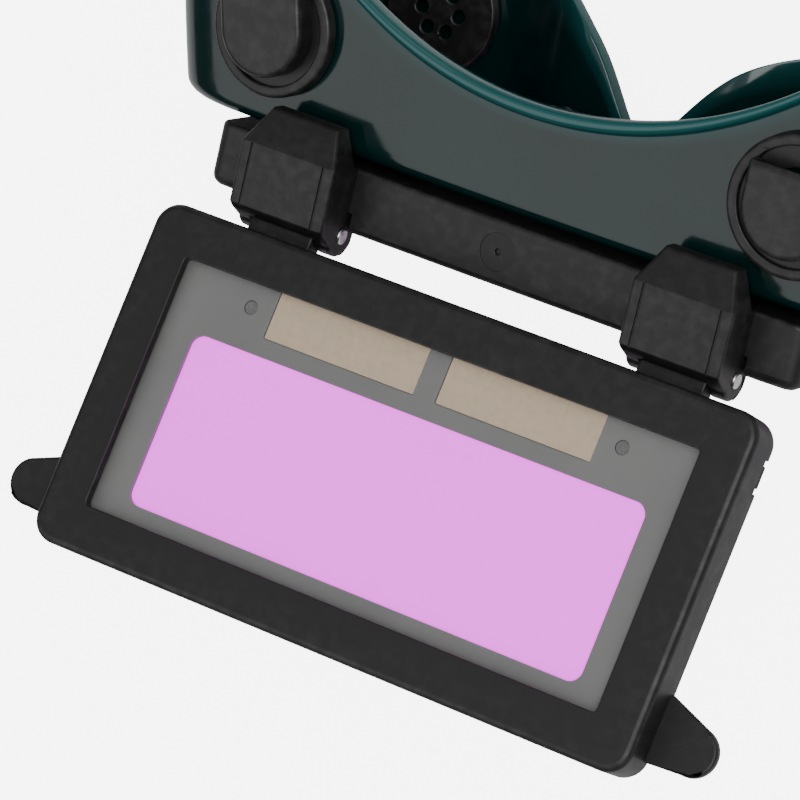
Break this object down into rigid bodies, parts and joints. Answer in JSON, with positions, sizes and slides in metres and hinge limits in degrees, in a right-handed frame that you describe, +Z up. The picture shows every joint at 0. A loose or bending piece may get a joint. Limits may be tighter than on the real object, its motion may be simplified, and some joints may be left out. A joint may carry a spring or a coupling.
{
  "type": "welding goggles",
  "caption": "Welding goggles with a soft wrap-round mask, a hinged flip-up auto-darkening filter frame, a clear inner lens, round vents and an elastic headband.",
  "frame": {"origin": "middle of the lower front edge of the fixed lens frame, on the flat face that the goggles stand on", "axes": "+X to the right as seen from the front with azimuth 0, across the wearer's face; +Y from the lenses back to the wearer's head; +Z up"},
  "size_m": [0.1956, 0.2399, 0.102],
  "materials": {
    "mask_pvc": "glossy soft PVC, dark green",
    "frame_black": "satin moulded nylon, fine texture",
    "vent_black": "satin moulded plastic",
    "pin_steel": "plated steel",
    "rivet_steel": "plated steel, satin",
    "cover_clear": "clear polycarbonate",
    "lens_clear": "clear polycarbonate",
    "filter_glass": "mirror-smooth violet-pink interference coating",
    "bezel_grey": "smooth grey plastic",
    "solar_cell": "amorphous solar cell, tan bands",
    "sensor_dark": "dark lens cap",
    "board_green": "solder-masked board",
    "gasket_rubber": "black rubber",
    "band_fabric": "woven black elastic"
  },
  "bodies": {
    "mask": {"goggle_body": "mask_pvc", "front_frame": "frame_black", "lens_gasket": "gasket_rubber", "cover_lens": "lens_clear", "lens_retainer": "frame_black", "hinge_housing_left": "frame_black", "hinge_housing_right": "frame_black", "hinge_pin_left": "pin_steel", "hinge_pin_right": "pin_steel", "detent_spring_left": "pin_steel", "detent_spring_right": "pin_steel", "strap_lug_left": "frame_black", "strap_lug_right": "frame_black", "lug_rivet_left": "rivet_steel", "lug_rivet_right": "rivet_steel", "headband": "band_fabric"},
    "flip": {"flip_frame": "frame_black", "front_cover_plate": "cover_clear", "filter_bezel": "bezel_grey", "lcd_filter": "filter_glass", "solar_cell_left": "solar_cell", "solar_cell_right": "solar_cell", "light_sensors": "sensor_dark", "circuit_board": "board_green", "backup_cells": "pin_steel", "filter_tray": "frame_black", "rear_cover_plate": "cover_clear", "filter_retainer": "frame_black"},
    "vent_top_left": {"vent_cap_top_left": "vent_black", "vent_retainer_top_left": "vent_black"},
    "vent_top_right": {"vent_cap_top_right": "vent_black", "vent_retainer_top_right": "vent_black"},
    "vent_bottom_left": {"vent_cap_bottom_left": "vent_black", "vent_retainer_bottom_left": "vent_black"},
    "vent_bottom_right": {"vent_cap_bottom_right": "vent_black", "vent_retainer_bottom_right": "vent_black"},
    "adjuster": {"strap_adjuster": "frame_black"}
  },
  "joints": [
    {"name": "flip_hinge", "type": "hinge", "parent": "mask", "child": "flip", "pos_m": [0, -0.0007, 0.0693], "axis": [1, 0, 0], "range_deg": [0, 110]},
    {"name": "vent_top_left_turn", "type": "hinge", "parent": "mask", "child": "vent_top_left", "pos_m": [-0.0523, 0.031, 0.06766], "axis": [-0.0626, -0.0499, 0.9968], "continuous": true},
    {"name": "vent_top_right_turn", "type": "hinge", "parent": "mask", "child": "vent_top_right", "pos_m": [0.0523, 0.031, 0.06766], "axis": [0.0626, -0.0499, 0.9968], "continuous": true},
    {"name": "vent_bottom_left_turn", "type": "hinge", "parent": "mask", "child": "vent_bottom_left", "pos_m": [-0.0505, 0.031, 0.0078], "axis": [0, 0, -1], "continuous": true},
    {"name": "vent_bottom_right_turn", "type": "hinge", "parent": "mask", "child": "vent_bottom_right", "pos_m": [0.0505, 0.031, 0.0078], "axis": [0, 0, -1], "continuous": true},
    {"name": "adjuster_slide", "type": "slide", "parent": "mask", "child": "adjuster", "axis": [1, 0, 0], "range_m": [-0.008, 0.008]}
  ]
}
